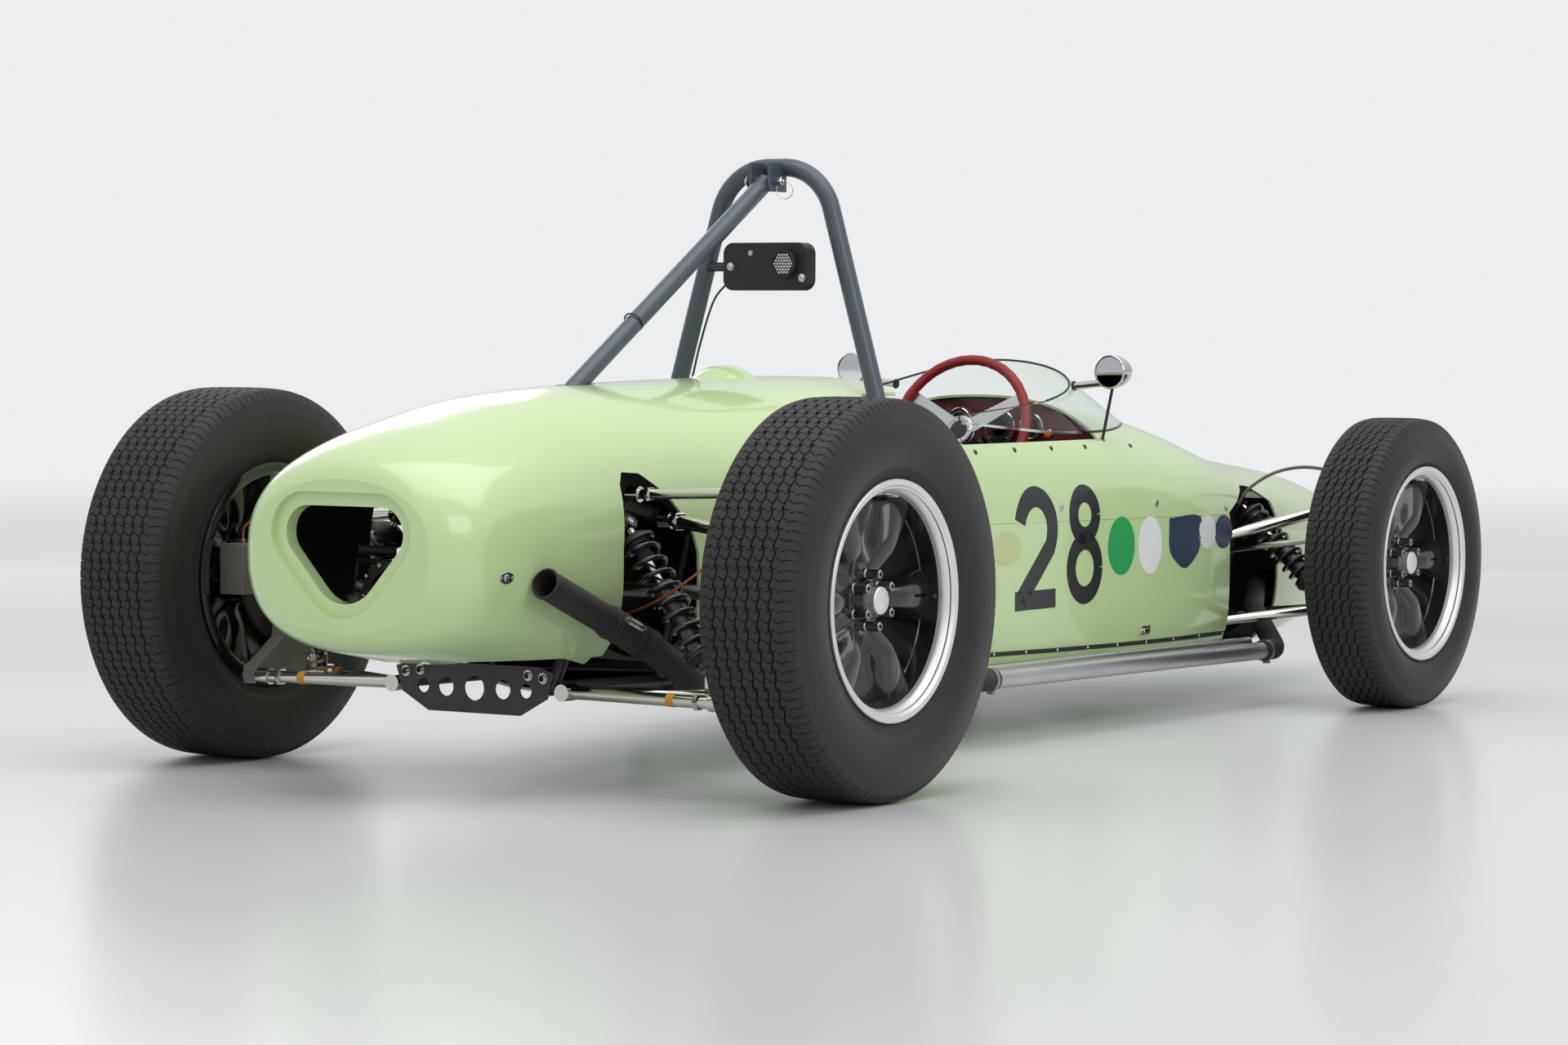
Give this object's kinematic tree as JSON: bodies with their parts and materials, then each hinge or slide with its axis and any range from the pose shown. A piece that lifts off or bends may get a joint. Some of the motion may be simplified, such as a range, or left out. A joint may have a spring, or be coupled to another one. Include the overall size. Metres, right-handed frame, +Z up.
{
  "type": "open wheel racing car",
  "caption": "Single-seat open wheel racing car with wraparound screen, roll hoop, exposed links and springs, steered front wheels and an engine behind the driver.",
  "frame": {"origin": "on the ground under the middle of the car's overall box", "axes": "+X towards the nose, +Y towards the driver's left, +Z up"},
  "size_m": [3.611, 1.562, 1.1355],
  "materials": {
    "body_paint": "gloss",
    "clear_screen": "gloss",
    "frame_paint": "satin",
    "hoop_paint": "satin",
    "seat_trim": "matt",
    "dash_finish": "satin",
    "rim_leather": "satin",
    "engine_metal": "cast",
    "exhaust_metal": "matt",
    "radiator_core": "matt",
    "pipe_metal": "satin",
    "hose_rubber": "matt",
    "mirror_shell": "polished",
    "lamp_case": "satin",
    "upright_casting": "cast",
    "link_steel": "plated",
    "wishbone_paint": "satin",
    "spring_paint": "satin",
    "steering_steel": "machined",
    "wheel_finish": "gloss",
    "tyre_rubber": "matt",
    "disc_iron": "machined"
  },
  "bodies": {
    "chassis": {"side_panel_left": "body_paint", "side_panel_right": "body_paint", "floor_pan": "body_paint", "front_body": "body_paint", "tail_cover": "body_paint", "windscreen": "clear_screen", "chassis_frame": "frame_paint", "rear_crossmember": "frame_paint", "roll_hoop": "hoop_paint", "rain_light": "lamp_case", "seat": "seat_trim", "dash_panel": "dash_finish", "rack_housing": "upright_casting", "engine": "engine_metal", "gearbox": "engine_metal", "exhaust": "exhaust_metal", "radiator": "radiator_core", "coolant_pipes": "pipe_metal", "coolant_hoses": "hose_rubber", "mirrors": "mirror_shell", "front_wishbones": "wishbone_paint", "front_coilovers": "spring_paint", "rear_uprights": "upright_casting", "rear_callipers": "disc_iron", "rear_links": "link_steel", "rear_coilovers": "spring_paint"},
    "steering_wheel": {"steering_wheel": "rim_leather"},
    "rack": {"rack_bar": "steering_steel", "tie_rods": "link_steel"},
    "knuckle_left": {"front_upright_left": "upright_casting"},
    "knuckle_right": {"front_upright_right": "upright_casting"},
    "front_wheel_left": {"wheel_front_left": "wheel_finish", "tyre_front_left": "tyre_rubber", "brake_disc_front_left": "disc_iron"},
    "rear_wheel_left": {"wheel_rear_left": "wheel_finish", "tyre_rear_left": "tyre_rubber", "brake_disc_rear_left": "disc_iron", "driveshaft_left": "steering_steel"},
    "front_wheel_right": {"wheel_front_right": "wheel_finish", "tyre_front_right": "tyre_rubber", "brake_disc_front_right": "disc_iron"},
    "rear_wheel_right": {"wheel_rear_right": "wheel_finish", "tyre_rear_right": "tyre_rubber", "brake_disc_rear_right": "disc_iron", "driveshaft_right": "steering_steel"}
  },
  "joints": [
    {"name": "steer_left", "type": "hinge", "parent": "chassis", "child": "knuckle_left", "pos_m": [1.0255, 0.548, 0.311], "axis": [0, 0, 1], "range_deg": [-24, 24]},
    {"name": "steer_right", "type": "hinge", "parent": "chassis", "child": "knuckle_right", "pos_m": [1.0255, -0.548, 0.311], "axis": [0, 0, 1], "range_deg": [-24, 24]},
    {"name": "steering_column", "type": "hinge", "parent": "chassis", "child": "steering_wheel", "pos_m": [0.2505, 0, 0.597], "axis": [-0.9409, 0, 0.3387], "range_deg": [-270, 270]},
    {"name": "rack_slide", "type": "slide", "parent": "chassis", "child": "rack", "axis": [0, 1, 0], "range_m": [-0.048, 0.048]},
    {"name": "front_left_spin", "type": "hinge", "parent": "knuckle_left", "child": "front_wheel_left", "pos_m": [1.0255, 0.632, 0.311], "axis": [0, 1, 0], "continuous": true},
    {"name": "rear_left_spin", "type": "hinge", "parent": "chassis", "child": "rear_wheel_left", "pos_m": [-1.2605, 0.678, 0.346], "axis": [0, 1, 0], "continuous": true},
    {"name": "front_right_spin", "type": "hinge", "parent": "knuckle_right", "child": "front_wheel_right", "pos_m": [1.0255, -0.632, 0.311], "axis": [0, 1, 0], "continuous": true},
    {"name": "rear_right_spin", "type": "hinge", "parent": "chassis", "child": "rear_wheel_right", "pos_m": [-1.2605, -0.678, 0.346], "axis": [0, 1, 0], "continuous": true}
  ],
  "couplings": [
    {"joint": "steer_right", "follows": "steer_left", "ratio": 1},
    {"joint": "steering_column", "follows": "steer_left", "ratio": 11},
    {"joint": "rack_slide", "follows": "steer_left", "m_per_rad": -0.113}
  ]
}
